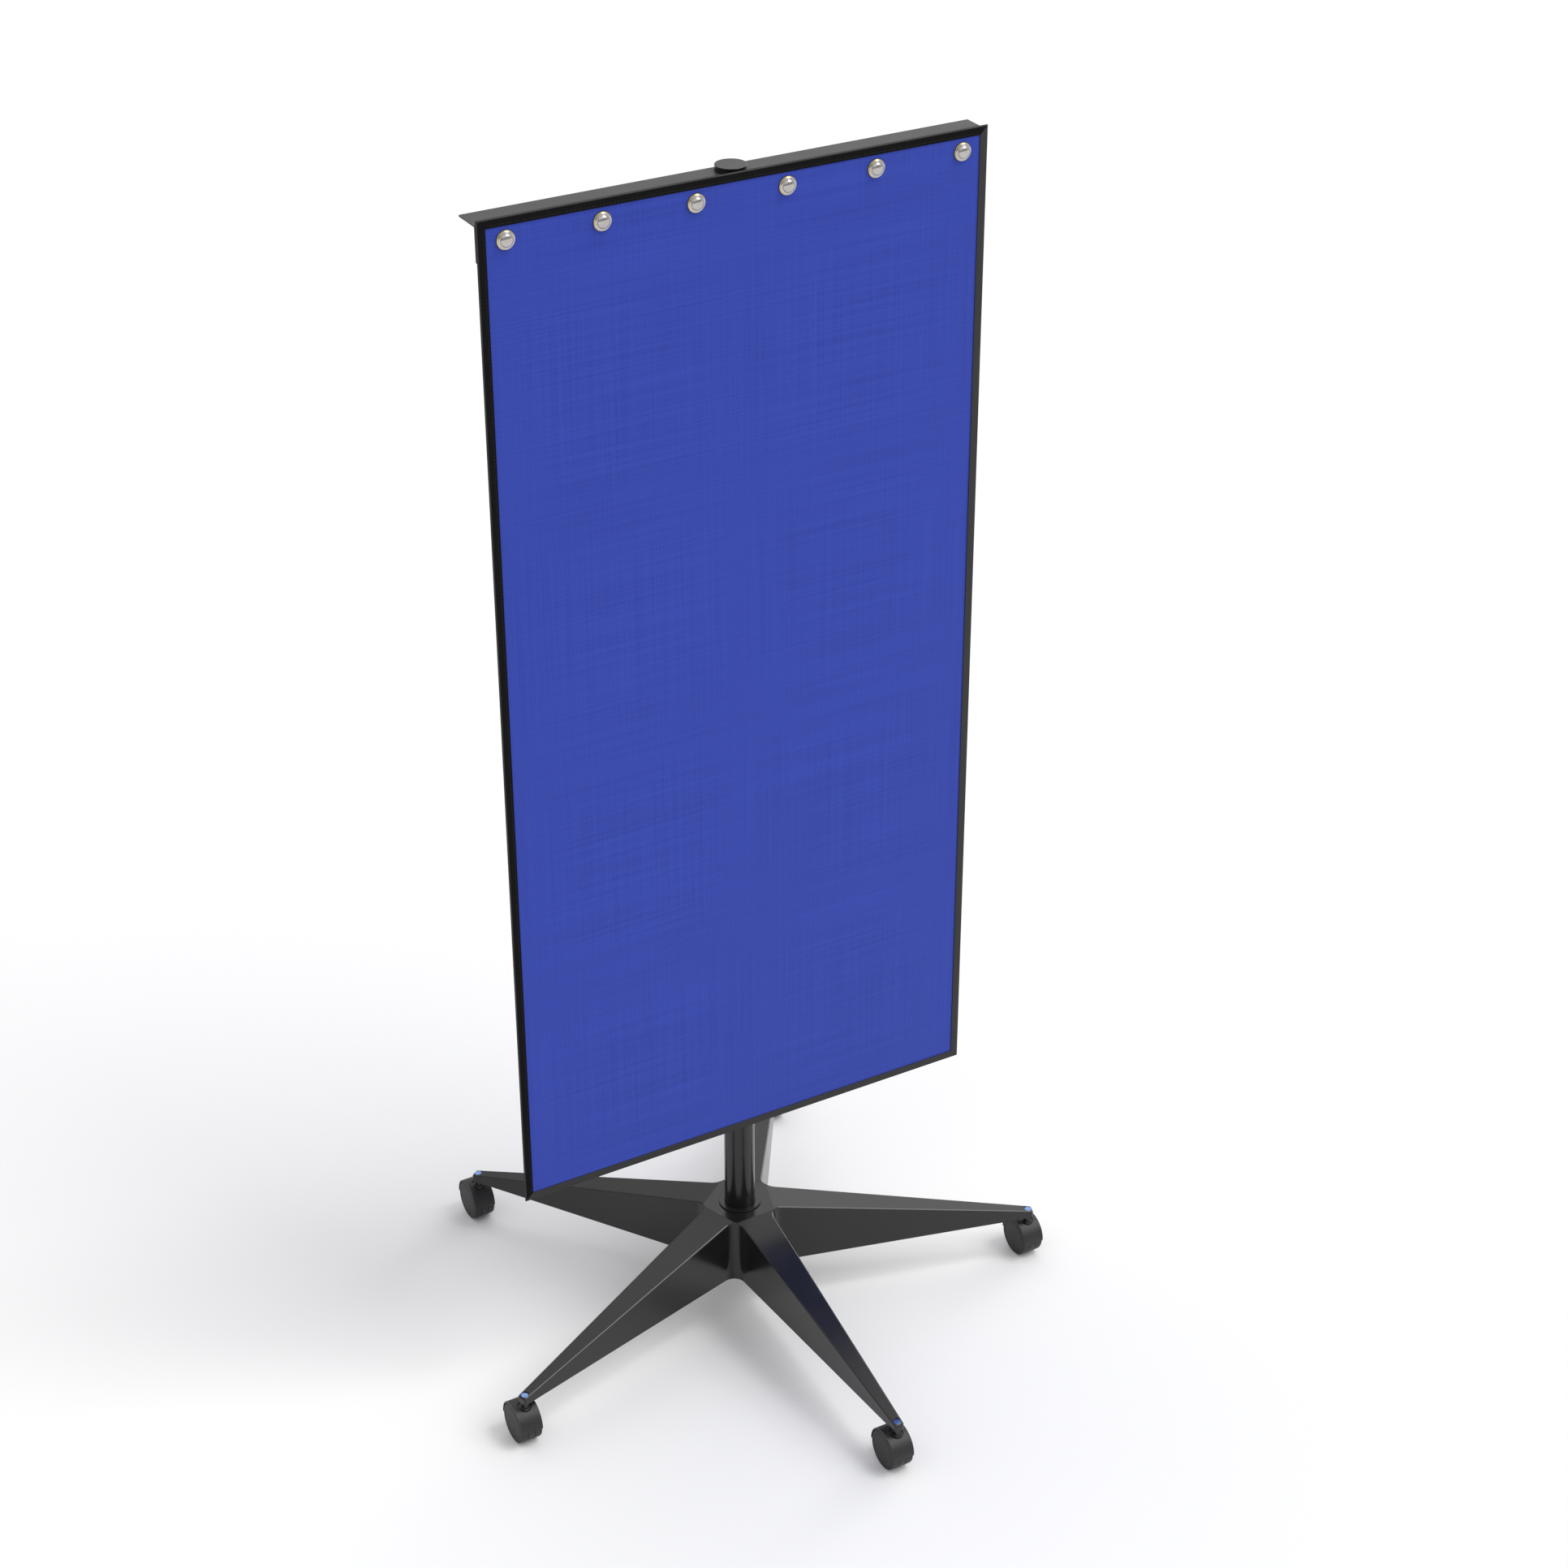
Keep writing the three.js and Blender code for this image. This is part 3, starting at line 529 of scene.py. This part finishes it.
def makeStarBase():
    s = starBase
    body = starShape(0, 0, stemStation + s["tipOverhang"], lowerEdge)
    fold = [e for e in body.edges if 8 < math.degrees(e.calc_face_angle(0)) < 16 and e.calc_length() > 25 * mm]
    bmesh.ops.bevel(
        body,
        geom=fold,
        offset=5 * mm,
        offset_type="OFFSET",
        segments=4,
        profile=0.5,
        affect="EDGES",
        clamp_overlap=True,
        material=-1,
    )
    bevelSharp(body, s["crease"] * mm, 4, 40, s["creaseProfile"], False)
    hollow = starShape(s["wall"], s["roof"], stemStation - s["pocketStop"], lowerEdge - 5)
    body = carved(body, hollow)
    holes = [turnedShape([(0, 40), (postRadius + 0.3, 40), (postRadius + 0.3, 200), (0, 200)], 64)]
    stemHole = [(0, 40), (4.8, 40), (4.8, 200), (0, 200)]
    for stem in stemAxes.values():
        offset = Vector((stem.x - postAxis.x, stem.y - postAxis.y, 0))
        holes.append(moveShape(turnedShape(stemHole, 32), to=offset))
    body = carved(body, joinShapes(*holes))
    inner, outer = postRadius + 0.3, postRadius + 0.3 + s["bossWall"]
    foot, shelf = lowerEdge + s["bossLift"], lowerEdge + s["bossLift"] + 6
    boss = turnedShape(
        [
            (5.3, foot),
            (outer, foot),
            (outer, platformTop - 1.5),
            (inner, platformTop - 1.5),
            (inner, shelf),
            (5.3, shelf),
        ],
        64,
        0.6,
    )
    body = moveShape(joinShapes(body, boss), to=(postAxis.x, postAxis.y, 0))
    finishPiece("starBase", body, "cast_coat", "stand", ["star_base"], 28)


makeStarBase()
print("star base cast")

# post, collar, cap and their fastenings --------------------------------------------


def zRange(node):
    low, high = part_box(node)
    return low.z / mm, high.z / mm


postParts = {
    "wall": 2.5,
    "collarRadius": 26.5,
    "capRadius": 17.5,
    "capScrew": 8,
    "capEdge": 0.5,
    "washerRadius": 17,
    "boltAcrossFlats": 17,
    "boltHead": 6.4,
    "boltRadius": 5,
}


def hexHead(acrossFlats, low, high, edge):
    bm = bmesh.new()
    bmesh.ops.create_circle(bm, cap_ends=True, segments=6, radius=acrossFlats / 2 / math.cos(math.pi / 6) * mm)
    raised = bmesh.ops.extrude_face_region(bm, geom=list(bm.faces))["geom"]
    upper = [v for v in raised if isinstance(v, bmesh.types.BMVert)]
    bmesh.ops.translate(bm, verts=upper, vec=(0, 0, (high - low) * mm))
    bmesh.ops.recalc_face_normals(bm, faces=bm.faces)
    bevelSharp(bm, edge * mm, 2)
    return moveShape(bm, to=(0, 0, low * mm))


def makePost():
    p = postParts
    onAxis = (postAxis.x, postAxis.y, 0)
    foot, top = zRange("post")
    bore = postRadius - p["wall"]
    tube = turnedShape([(bore, foot), (postRadius, foot), (postRadius, top), (bore, top)], 96, 0.4)
    finishPiece("post", moveShape(tube, to=onAxis), "black_coat", "stand", ["post"])

    low, high = zRange("hub_collar")
    ring = turnedShape(
        [(postRadius + 0.3, low), (p["collarRadius"], low), (p["collarRadius"], high), (postRadius + 0.3, high)],
        96,
        0.3,
    )
    finishPiece("hubCollar", moveShape(ring, to=onAxis), "black_coat", "stand", ["hub_collar"])

    low, high = zRange("post_cap")
    seat = zRange("top_rail")[1] + 0.3
    cap = turnedShape(
        [(0, low), (p["capScrew"], low), (p["capScrew"], seat), (p["capRadius"], seat), (p["capRadius"], high), (0, high)],
        96,
        p["capEdge"],
        3,
    )
    finishPiece("postCap", moveShape(cap, to=onAxis), "black_coat", "stand", ["post_cap"])

    low, high = zRange("post_washer")
    washer = turnedShape([(5.3, low), (p["washerRadius"], low), (p["washerRadius"], high), (5.3, high)], 48, 0.3)
    finishPiece("postWasher", moveShape(washer, to=onAxis), "zinc_steel", "stand", ["post_washer"])

    low, high = zRange("post_bolt")
    shank = turnedShape([(0, low + 3), (p["boltRadius"], low + 3), (p["boltRadius"], high), (0, high)], 32, 0.6)
    bolt = joinShapes(hexHead(p["boltAcrossFlats"], low, low + p["boltHead"], 0.5), shank)
    finishPiece("postBolt", moveShape(bolt, to=onAxis), "zinc_steel", "stand", ["post_bolt"])


makePost()
print("post, collar and cap turned")

# top rail -----------------------------------------------------------------------------

angleRail = {"thickness": 2.2, "bend": 2.4, "edge": 0.35}


def makeRail():
    low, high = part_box("top_rail")
    t = angleRail["thickness"] * mm
    bm = bmesh.new()
    section = [
        (low.y, low.z),
        (low.y + t, low.z),
        (low.y + t, high.z - t),
        (high.y, high.z - t),
        (high.y, high.z),
        (low.y, high.z),
    ]
    bm.faces.new([bm.verts.new((low.x, y, z)) for y, z in section])
    raised = bmesh.ops.extrude_face_region(bm, geom=list(bm.faces))["geom"]
    bmesh.ops.translate(
        bm,
        verts=[v for v in raised if isinstance(v, bmesh.types.BMVert)],
        vec=(high.x - low.x, 0, 0),
    )
    bmesh.ops.recalc_face_normals(bm, faces=bm.faces)
    lengthwise = [e for e in bm.edges if abs(e.verts[0].co.x - e.verts[1].co.x) > 1 * mm]
    outerBend = [e for e in lengthwise if e.verts[0].co.y < low.y + 0.1 * mm and e.verts[0].co.z > high.z - 0.1 * mm]
    bmesh.ops.bevel(
        bm,
        geom=outerBend,
        offset=angleRail["bend"] * mm,
        offset_type="OFFSET",
        segments=6,
        profile=0.5,
        affect="EDGES",
        material=-1,
    )
    bevelSharp(bm, angleRail["edge"] * mm, 2, 60)
    finishPiece("topRail", bm, "rail_coat", "stand", ["top_rail"])


makeRail()
print("rail bent")

# curtain ---------------------------------------------------------------------------------

curtain = {
    "columns": 96,
    "rows": 192,
    "sway": 0.45 * mm,  # the cloth's gentle waves at its lower edge
    "swayPitch": 0.19,  # metres from wave to wave
    "scallop": 0.18 * mm,  # the fullness between two studs
}

stitching = {
    "pitch": 4.2 * mm,
    "length": 2.9 * mm,
    "thickness": 0.42 * mm,
    "fromFold": 7.4 * mm,
}


def makeSheet():
    low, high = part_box("curtain_sheet")
    width, length, thickness = high.x - low.x, high.z - low.z, high.y - low.y
    bm = bmesh.new()
    bmesh.ops.create_grid(bm, x_segments=curtain["columns"], y_segments=curtain["rows"], size=0.5)
    bmesh.ops.scale(bm, vec=(width, length, 1), verts=bm.verts)
    moveShape(bm, towardsFront, ((low.x + high.x) / 2, low.y + thickness / 2, (low.z + high.z) / 2))
    studGap = (middle("eyelet_2") - middle("eyelet_1")).x
    firstStud = middle("eyelet_1").x
    for vert in bm.verts:
        drop = (high.z - vert.co.z) / length
        edge = min(vert.co.x - low.x, high.x - vert.co.x, vert.co.z - low.z, high.z - vert.co.z)
        free = min(1, max(0, edge / 0.06))  # the taped edges stay straight
        wave = math.sin(2 * math.pi * vert.co.x / curtain["swayPitch"] + 1.3 * math.sin(2.2 * vert.co.z))
        fullness = 0.5 - 0.5 * math.cos(2 * math.pi * (vert.co.x - firstStud) / studGap)
        vert.co.y -= free * (curtain["sway"] * drop * (wave + 1) / 2 + curtain["scallop"] * fullness * math.exp(-6 * drop))
    bmesh.ops.solidify(bm, geom=list(bm.faces), thickness=thickness)
    bmesh.ops.recalc_face_normals(bm, faces=bm.faces)
    front = min(v.co.y for v in bm.verts if v.co.z > high.z - 5 * mm)
    bmesh.ops.translate(bm, verts=bm.verts, vec=(0, low.y - front, 0))
    return finishPiece("curtainSheet", bm, "blue_cloth", "stand", ["curtain_sheet"])


def makeTape(node, turn):
    # a folded strip with mitred ends, made along X with its mouth up, then turned about Y
    low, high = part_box(node)
    whole = [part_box(n) for n in ("binding_left", "binding_right", "binding_bottom", "binding_top")]
    left, right = whole[0][0].x, whole[1][1].x
    bottom, top = whole[2][0].z, whole[3][1].z
    across = turn % 180 == 0
    length = right - left if across else top - bottom
    depth = high.z - low.z if across else high.x - low.x
    wall = 0.7 * mm
    back, front = high.y, low.y
    bm = bmesh.new()
    section = [
        (front, 0),
        (back, 0),
        (back, depth),
        (back - wall, depth),
        (back - wall, wall),
        (front + wall, wall),
        (front + wall, depth),
        (front, depth),
    ]
    bm.faces.new([bm.verts.new((-length / 2, y, z)) for y, z in section])
    raised = bmesh.ops.extrude_face_region(bm, geom=list(bm.faces))["geom"]
    bmesh.ops.translate(bm, verts=[v for v in raised if isinstance(v, bmesh.types.BMVert)], vec=(length, 0, 0))
    bmesh.ops.recalc_face_normals(bm, faces=bm.faces)
    lengthwise = [e for e in bm.edges if abs(e.verts[0].co.x - e.verts[1].co.x) > 1 * mm]
    folds = [e for e in lengthwise if e.verts[0].co.z < 0.01 * mm]
    lips = [e for e in lengthwise if e.verts[0].co.z > depth - 0.01 * mm]
    for edges, size, steps in ((folds, 1.1 * mm, 5), (lips, 0.25 * mm, 3)):
        bmesh.ops.bevel(
            bm,
            geom=edges,
            offset=size,
            offset_type="OFFSET",
            segments=steps,
            profile=0.5,
            affect="EDGES",
            material=-1,
        )
    for end in (-1, 1):
        made = bmesh.ops.bisect_plane(
            bm,
            geom=list(bm.verts) + list(bm.edges) + list(bm.faces),
            dist=0.0001 * mm,
            plane_co=(end * length / 2, 0, 0),
            plane_no=(end, 0, 1),
            clear_outer=True,
        )["geom_cut"]
        bmesh.ops.edgenet_fill(bm, edges=[e for e in made if isinstance(e, bmesh.types.BMEdge)])
    count = int((length - 2 * depth) / stitching["pitch"])
    shrink = Matrix.Diagonal((stitching["length"] / 2, stitching["thickness"] / 2, stitching["thickness"] / 2, 1))
    taped = len(bm.faces)
    for y in (front, back):
        for i in range(count):
            x = (i + 0.5 - count / 2) * stitching["pitch"]
            at = Matrix.Translation((x, y, stitching["fromFold"]))
            bmesh.ops.create_icosphere(bm, subdivisions=1, radius=1, matrix=at @ shrink)
    bm.faces.ensure_lookup_table()
    for face in bm.faces[taped:]:
        face.material_index = 1
    at = {0: (0, bottom), 180: (0, top), -90: (right, (bottom + top) / 2), 90: (left, (bottom + top) / 2)}[turn]
    moveShape(bm, Matrix.Rotation(math.radians(turn), 3, "Y"), (at[0], 0, at[1]))
    name = node.split("_")[1]
    piece = finishPiece(f"edgeTape_{name}", bm, "black_tape", "stand", [node])
    piece.data.materials.append(threadFinish)
    return piece


sheet = makeSheet()
tapes = [
    makeTape(node, turn)
    for node, turn in (
        ("binding_bottom", 0),
        ("binding_top", 180),
        ("binding_right", -90),
        ("binding_left", 90),
    )
]
print("curtain hung and taped")

# studs --------------------------------------------------------------------------------------

studParts = {
    "eyeletBore": 4.2,
    "eyeletBarrel": 5,
    "eyeletFlange": 10,
    "eyeletRoll": 10.6,  # the front flange's rolled edge
    "headRadius": 9.8,
    "domeRadius": 7.2,
    "domeHeight": 3.2,
    "headRim": 1.2,
    "shank": 2.5,
    "nutAcrossFlats": 8,
}


def makeStuds():
    s = studParts
    for k in studNumbers:
        at = middle(f"eyelet_{k}")
        low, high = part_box(f"eyelet_{k}")
        sheetLow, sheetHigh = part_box("curtain_sheet")
        # heights run from the rail towards the front, from the eyelet's back face
        deep = (high.y - low.y) / mm
        clothBack = (high.y - sheetHigh.y) / mm
        clothFront = (high.y - sheetLow.y) / mm
        ring = turnedShape(
            [
                (s["eyeletBore"], 0),
                (s["eyeletFlange"], 0),
                (s["eyeletFlange"], clothBack - 0.3),
                (s["eyeletBarrel"], clothBack - 0.3),
                (s["eyeletBarrel"], clothFront + 0.3),
                (s["eyeletRoll"] - 0.2, clothFront + 0.1),
                (s["eyeletRoll"], clothFront + 0.6),
                (s["eyeletRoll"] - 0.4, deep - 0.3),
                (s["eyeletRoll"] - 1.6, deep),
                (s["eyeletBore"], deep),
            ],
            64,
            0.25,
            2,
            20,
        )
        moveShape(ring, towardsFront, (at.x, high.y, at.z))
        finishPiece(f"eyelet_{k}", ring, "brass", "stand", [f"eyelet_{k}"])

        low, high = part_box(f"dome_screw_{k}")
        long = (high.y - low.y) / mm
        rim = long - s["domeHeight"] - s["headRim"]
        dome = []
        for step in range(9):  # a quarter arc from the dome's foot to its crown
            lift = math.radians(90 * step / 8)
            dome.append((s["domeRadius"] * math.cos(lift), rim + s["headRim"] + s["domeHeight"] * math.sin(lift)))
        dome[-1] = (0, dome[-1][1])
        head = turnedShape(
            [
                (0, 0),
                (s["shank"], 0),
                (s["shank"], rim),
                (s["headRadius"] - 0.2, rim),
                (s["headRadius"], rim + 0.5),
                (s["headRadius"] - 1.1, rim + s["headRim"] - 0.1),
                (s["domeRadius"] + 1.0, rim + s["headRim"] + 0.15),
                *dome,
            ],
            64,
            0.2,
            2,
            24,
        )
        moveShape(head, towardsFront, (at.x, high.y, at.z))
        finishPiece(f"domeScrew_{k}", head, "polished_steel", "stand", [f"dome_screw_{k}"])

        low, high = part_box(f"hex_nut_{k}")
        nut = hexHead(s["nutAcrossFlats"], 0, (high.y - low.y) / mm, 0.35)
        moveShape(nut, towardsFront, (at.x, high.y, at.z))
        finishPiece(f"hexNut_{k}", nut, "zinc_steel", "stand", [f"hex_nut_{k}"])


makeStuds()
print("studs set")

# casters ---------------------------------------------------------------------------------------

casterShape = {
    "wheelRadius": 25,
    "wheelEdge": 1.6,
    "wheelWidth": 9.65,
    "webHalf": 4.1,
    "webInset": 0.1,
    "wheelGap": 0.35,
    "hoodInner": 25.5,
    "hoodRadius": 26.8,
    "hoodRise": 1.2,
    "hoodTaper": 55,  # degrees of arc over which the hood thins out towards each end
    "hoodSteps": 48,
    "pocketRadius": 8.6,
    "pocketSetback": 2.5,
    "pocketFloor": 0.9,
    "bossRadius": 5.8,
    "bossHeight": 28,
    "stemRadius": 4.5,
    "pivotRadius": 2.6,
}


def halfRing(inner, outer, half, rise, steps, taper=0):
    # a rectangle swept over the top of the axle from the back to the front
    bm = bmesh.new()
    corners = [(-half, inner), (half, inner), (half, outer), (-half, outer)]
    verts = [bm.verts.new((x * mm, radius * mm, 0)) for x, radius in corners]
    edges = [bm.edges.new((verts[i], verts[(i + 1) % 4])) for i in range(4)]
    bmesh.ops.spin(
        bm,
        geom=verts + edges,
        cent=(0, 0, 0),
        axis=(1, 0, 0),
        dvec=(0, 0, 0),
        angle=math.pi,
        steps=steps,
    )
    bmesh.ops.holes_fill(bm, edges=[e for e in bm.edges if e.is_boundary], sides=4)
    bmesh.ops.recalc_face_normals(bm, faces=bm.faces)
    for vert in [v for v in bm.verts if v.co.yz.length > (inner + outer) / 2 * mm]:
        fromEnd = math.degrees(math.atan2(vert.co.z, abs(vert.co.y)))
        full = min(1, max(0, fromEnd / taper)) ** 0.5 if taper else 1
        radial = Vector((0, vert.co.y, vert.co.z)).normalized()
        vert.co -= radial * (outer - inner) * 0.75 * (1 - full) * mm
        vert.co.z += rise * full * mm
    return bm


def housingShape():
    # the origin is the stem's axis on the floor
    c = casterShape
    half = c["webHalf"] + c["wheelGap"] + c["wheelWidth"]
    toAxle = (0, axleBack, axleHeight)
    arch = halfRing(c["hoodInner"], c["hoodRadius"], half, c["hoodRise"], c["hoodSteps"], c["hoodTaper"])
    hood = moveShape(arch, to=toAxle)
    pocket = turnedShape([(0, 25), (c["pocketRadius"], 25), (c["pocketRadius"], 70), (0, 70)], 48)
    moveShape(pocket, to=(0, c["pocketSetback"] * mm, 0))
    floorRadius = c["hoodInner"] + c["pocketFloor"]
    keep = turnedShape([(0, -20), (floorRadius, -20), (floorRadius, 20), (0, 20)], 96)
    moveShape(keep, alongX, toAxle)
    hood = carved(hood, carved(pocket, keep))
    bevelSharp(hood, 0.25 * mm, 3, 35)
    crown = moveShape(halfRing(20, c["hoodInner"] + 0.5, c["webHalf"], 0, 24), to=toAxle)
    webRadius = c["wheelRadius"] - c["webInset"]
    web = turnedShape([(0, -c["webHalf"]), (webRadius, -c["webHalf"]), (webRadius, c["webHalf"]), (0, c["webHalf"])], 64, 0.5)
    moveShape(web, alongX, toAxle)
    foot, top = axleHeight / mm + 22.5, axleHeight / mm + c["bossHeight"]
    boss = turnedShape([(0, foot), (c["bossRadius"], foot), (c["bossRadius"], top), (0, top)], 48, 0.6, 3)
    return joinShapes(hood, crown, web, boss)


def wheelShape(side):
    c = casterShape
    inner = c["webHalf"] + c["wheelGap"]
    outer = inner + c["wheelWidth"]
    radius, edge = c["wheelRadius"], c["wheelEdge"]
    outline = [
        (0, inner),
        (radius - 0.3, inner),
        (radius, inner + 0.3),
        (radius, outer - edge),
        (radius - 0.3 * edge, outer - 0.3 * edge),
        (radius - edge, outer),
        (20.6, outer),
        (20.3, outer - 0.35),
        (19.7, outer - 0.35),
        (19.4, outer),
        (0, outer),
    ]
    wheel = turnedShape(outline, 72, 0.12, 2, 24)
    turn = alongX if side > 0 else Matrix.Rotation(math.radians(-90), 3, "Y")
    return moveShape(wheel, turn, (0, axleBack, axleHeight))


def stemShape():
    c = casterShape
    low, high = zRange("caster_stem_1")
    step = axleHeight / mm + c["bossHeight"] + 0.3
    outline = [(0, low), (c["pivotRadius"], low), (c["pivotRadius"], step), (c["stemRadius"], step)]
    outline += [(c["stemRadius"], high), (0, high)]
    stem = turnedShape(outline, 48, 0.35, 3)
    for face in stem.faces:
        if face.calc_center_median().z < (high - 6) * mm:
            face.material_index = 1  # painted shade: the part between arm and caster is coloured black for the arm's shadow on it
    return stem


def makeCasters():
    shapes = {}
    for name, shape in (
        ("housing", housingShape()),
        ("left", wheelShape(-1)),
        ("right", wheelShape(1)),
        ("stem", stemShape()),
    ):
        shapes[name] = bpy.data.meshes.new(name)
        shape.to_mesh(shapes[name])
        shape.free()
    for k in casterNumbers:
        at = (stemAxes[k].x, stemAxes[k].y, 0)
        for part, name, slotName, body, node in (
            ("housing", "casterHousing", "caster_nylon", f"caster_{k}_swivel", f"caster_housing_{k}"),
            ("left", "casterWheelLeft", "tread_rubber", f"caster_{k}_left", f"caster_wheel_left_{k}"),
            ("right", "casterWheelRight", "tread_rubber", f"caster_{k}_right", f"caster_wheel_right_{k}"),
            ("stem", "casterStem", "blue_zinc", "stand", f"caster_stem_{k}"),
        ):
            bm = bmesh.new()
            bm.from_mesh(shapes[part])
            piece = finishPiece(f"{name}_{k}", moveShape(bm, to=at), slotName, body, [node])
            if part == "stem":
                # painted shade: the black coat darkens the stem's shoulder, which lies in the arm's shadow
                piece.data.materials.append(finishes["black_coat"])
    for mesh in shapes.values():
        bpy.data.meshes.remove(mesh)


makeCasters()
print("casters fitted")

# the hidden metal pieces keep their own shape and take the zinc finish
for node in ["post_plug_bottom", "post_plug_top", "rail_screw"] + [f"caster_axle_{k}" for k in casterNumbers]:
    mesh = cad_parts[node].data
    for i in range(len(mesh.materials)):
        mesh.materials[i] = finishes["zinc_steel"]
